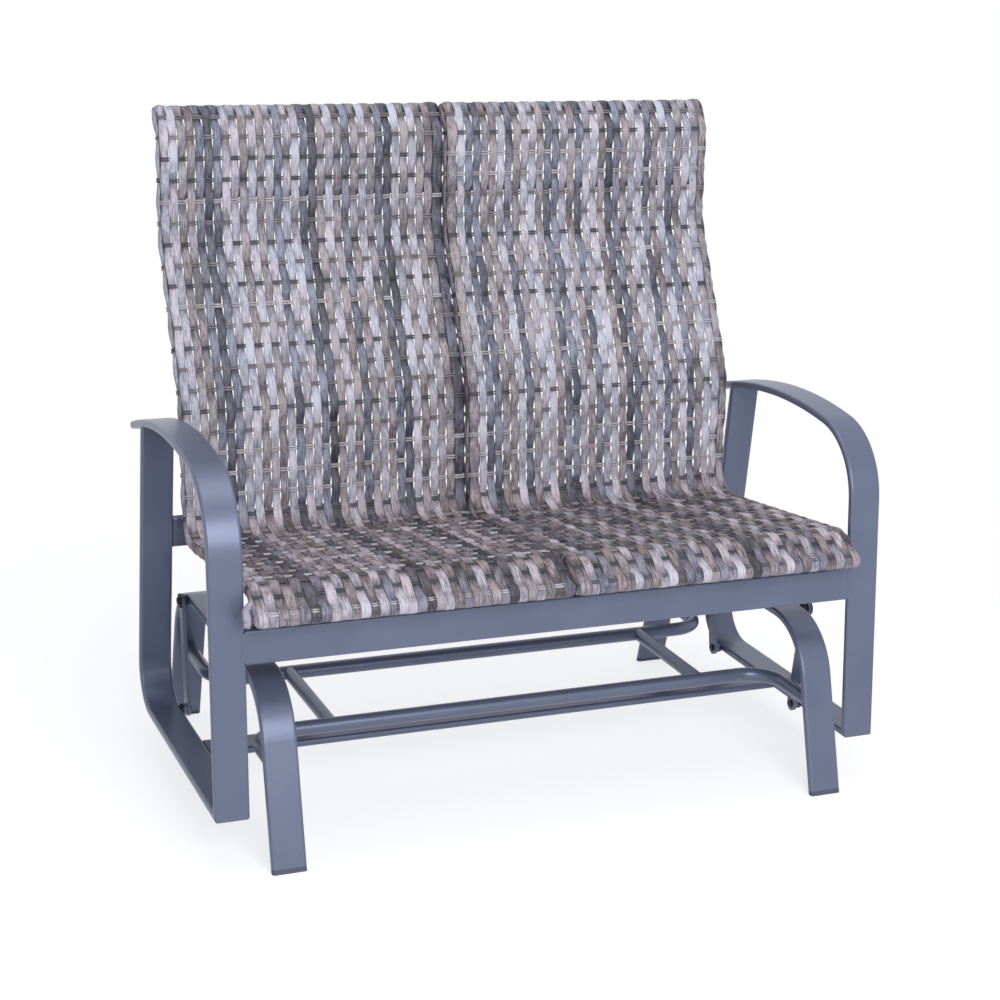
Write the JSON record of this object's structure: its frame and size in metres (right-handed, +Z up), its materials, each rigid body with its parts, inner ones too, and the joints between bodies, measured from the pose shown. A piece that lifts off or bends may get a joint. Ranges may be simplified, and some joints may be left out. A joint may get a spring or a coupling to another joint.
{
  "type": "double glider bench",
  "caption": "High-back outdoor glider seat for two: woven resin panels on a flat tube frame that swings on short links from a low base.",
  "frame": {"origin": "on the floor under the middle of the base, which is the centre of the bounding box seen from above", "axes": "+X to the right of someone looking at the bench from the front, +Y towards the back rest, +Z up; the sitter faces -Y"},
  "size_m": [1.2, 0.728, 1.143],
  "materials": {
    "powder_coat": "satin blue-grey powder coat",
    "weave": "flat resin strands in mixed greys and taupe, fine lengthwise grain",
    "black_plastic": "moulded nylon, slightly rough",
    "cap_plastic": "moulded plastic in the frame's colour",
    "dark_steel": "black zinc fasteners"
  },
  "bodies": {
    "base": {"base_leg_frame_left": "powder_coat", "base_leg_frame_right": "powder_coat", "front_stretcher": "powder_coat", "rear_stretcher": "powder_coat", "cross_tube_left": "powder_coat", "cross_tube_right": "powder_coat", "foot_glide_front_left": "cap_plastic", "foot_glide_front_right": "cap_plastic", "foot_glide_rear_left": "cap_plastic", "foot_glide_rear_right": "cap_plastic", "upper_pivot_bolts": "dark_steel", "upper_pivot_spacers": "black_plastic", "upper_pivot_washers": "black_plastic"},
    "link_front_left": {"link_front_left": "powder_coat", "link_front_left_bushes": "black_plastic"},
    "link_front_right": {"link_front_right": "powder_coat", "link_front_right_bushes": "black_plastic"},
    "link_rear_left": {"link_rear_left": "powder_coat", "link_rear_left_bushes": "black_plastic"},
    "link_rear_right": {"link_rear_right": "powder_coat", "link_rear_right_bushes": "black_plastic"},
    "seat": {"arm_left": "powder_coat", "arm_right": "powder_coat", "arm_end_cap_left": "cap_plastic", "arm_end_cap_right": "cap_plastic", "runner_left": "powder_coat", "runner_right": "powder_coat", "front_rail": "powder_coat", "rear_rail": "powder_coat", "lower_crossbar": "powder_coat", "panel_left_inner_rail": "powder_coat", "panel_left_outer_rail": "powder_coat", "panel_left_front_tube": "powder_coat", "panel_left_top_tube": "powder_coat", "panel_left_low_brace": "powder_coat", "panel_left_high_brace": "powder_coat", "panel_right_inner_rail": "powder_coat", "panel_right_outer_rail": "powder_coat", "panel_right_front_tube": "powder_coat", "panel_right_top_tube": "powder_coat", "panel_right_low_brace": "powder_coat", "panel_right_high_brace": "powder_coat", "woven_panel_left": "weave", "woven_panel_right": "weave", "front_panel_brackets": "powder_coat", "rear_panel_brackets": "powder_coat", "lower_pivot_bolts": "dark_steel", "lower_pivot_spacers": "black_plastic", "front_panel_screws": "dark_steel", "rear_panel_screws": "dark_steel"}
  },
  "joints": [
    {"name": "front_left_swing", "type": "hinge", "parent": "base", "child": "link_front_left", "pos_m": [-0.52875, -0.188, 0.2855], "axis": [1, 0, 0], "range_deg": [-12, 12]},
    {"name": "front_right_swing", "type": "hinge", "parent": "base", "child": "link_front_right", "pos_m": [0.52875, -0.188, 0.2855], "axis": [1, 0, 0], "range_deg": [-13, 13]},
    {"name": "rear_left_swing", "type": "hinge", "parent": "base", "child": "link_rear_left", "pos_m": [-0.52875, 0.188, 0.2855], "axis": [1, 0, 0], "range_deg": [-13, 13]},
    {"name": "rear_right_swing", "type": "hinge", "parent": "base", "child": "link_rear_right", "pos_m": [0.52875, 0.188, 0.2855], "axis": [1, 0, 0], "range_deg": [-13, 13]},
    {"name": "seat_pivot", "type": "hinge", "parent": "link_front_left", "child": "seat", "pos_m": [-0.52875, -0.158, 0.0905], "axis": [1, 0, 0], "range_deg": [-15.5, 15.5]}
  ],
  "couplings": [
    {"joint": "front_right_swing", "follows": "front_left_swing", "ratio": 1},
    {"joint": "rear_left_swing", "follows": "front_left_swing", "ratio": 1},
    {"joint": "rear_right_swing", "follows": "front_left_swing", "ratio": 1},
    {"joint": "seat_pivot", "follows": "front_left_swing", "ratio": -1.1899}
  ]
}
